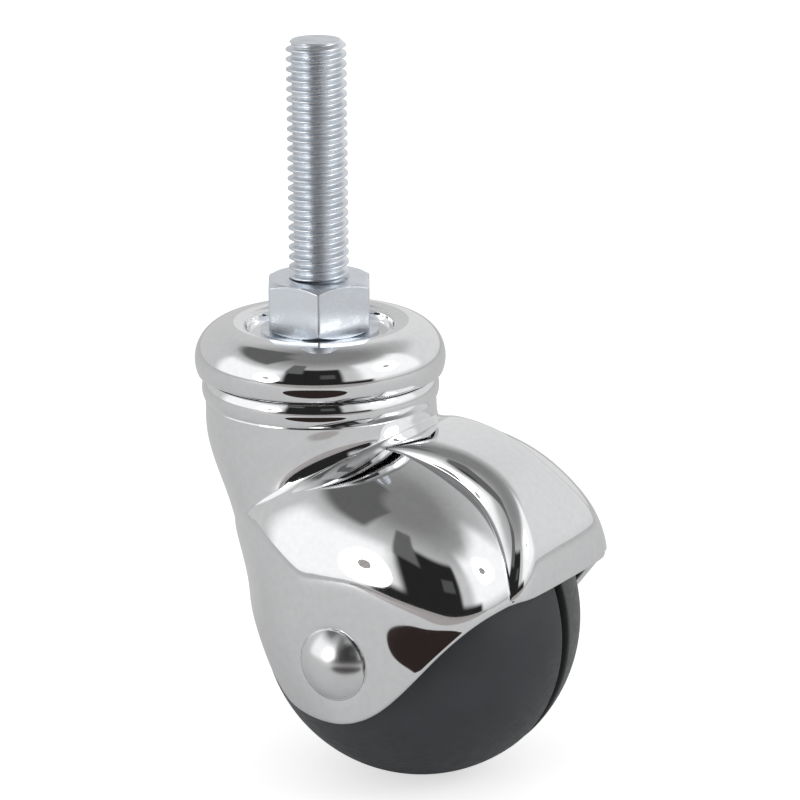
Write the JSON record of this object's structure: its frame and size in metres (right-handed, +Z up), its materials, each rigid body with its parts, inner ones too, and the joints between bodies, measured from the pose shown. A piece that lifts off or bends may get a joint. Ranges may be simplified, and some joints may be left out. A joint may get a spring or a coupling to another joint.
{
  "type": "hooded ball castor",
  "caption": "Swivelling furniture castor with a chromed hood over a black ball wheel, on a threaded stem with a hex nut and bead collar.",
  "frame": {"origin": "where the stem's axis meets the top face of the hex nut, which seats against the furniture", "axes": "+Z up the stem, which is also the swivel axis; the ball trails towards +X; the ball's axle runs along Y, with the near rivet head at -Y"},
  "size_m": [0.0657, 0.059, 0.117],
  "materials": {
    "hood_chrome": "polished bright chrome plate",
    "collar_chrome": "polished bright chrome plate",
    "rivet_chrome": "bright plate",
    "zinc_plated_steel": "bright zinc plate",
    "race_steel": "hardened and lightly oiled",
    "bearing_steel": "polished ball steel",
    "ball_plastic": "hard black plastic, half gloss",
    "core_plastic": "moulded black",
    "bush_plastic": "natural acetal",
    "white_nylon": "natural nylon",
    "seal_rubber": "matt black"
  },
  "bodies": {
    "stem_body": {"threaded_stem": "zinc_plated_steel", "hex_nut": "zinc_plated_steel", "nut_washer": "zinc_plated_steel", "collar_ring": "collar_chrome", "upper_race_cup": "race_steel", "lower_race_cone": "race_steel", "end_washer": "zinc_plated_steel"},
    "hood_body": {"hood": "hood_chrome", "swivel_plate": "race_steel", "dust_seal": "seal_rubber", "thrust_washer_near": "white_nylon", "thrust_washer_far": "white_nylon", "axle_rivet": "rivet_chrome", "rivet_washer_far": "zinc_plated_steel"},
    "wheel_body": {"wheel_shell_near": "ball_plastic", "wheel_shell_far": "ball_plastic", "wheel_core": "core_plastic", "hub_bush_near": "bush_plastic", "hub_bush_far": "bush_plastic"},
    "upper_balls": {"upper_bearing_balls": "bearing_steel"},
    "lower_balls": {"lower_bearing_balls": "bearing_steel"}
  },
  "joints": [
    {"name": "swivel", "type": "hinge", "parent": "stem_body", "child": "hood_body", "pos_m": [0, 0, 0], "axis": [0, 0, 1], "continuous": true},
    {"name": "wheel_spin", "type": "hinge", "parent": "hood_body", "child": "wheel_body", "pos_m": [0.0185, 0, -0.05351], "axis": [0, 1, 0], "continuous": true},
    {"name": "upper_balls_orbit", "type": "hinge", "parent": "stem_body", "child": "upper_balls", "pos_m": [0, 0, 0], "axis": [0, 0, 1], "continuous": true},
    {"name": "lower_balls_orbit", "type": "hinge", "parent": "stem_body", "child": "lower_balls", "pos_m": [0, 0, 0], "axis": [0, 0, 1], "continuous": true}
  ],
  "couplings": [
    {"joint": "upper_balls_orbit", "follows": "swivel", "ratio": 0.5},
    {"joint": "lower_balls_orbit", "follows": "swivel", "ratio": 0.5}
  ]
}
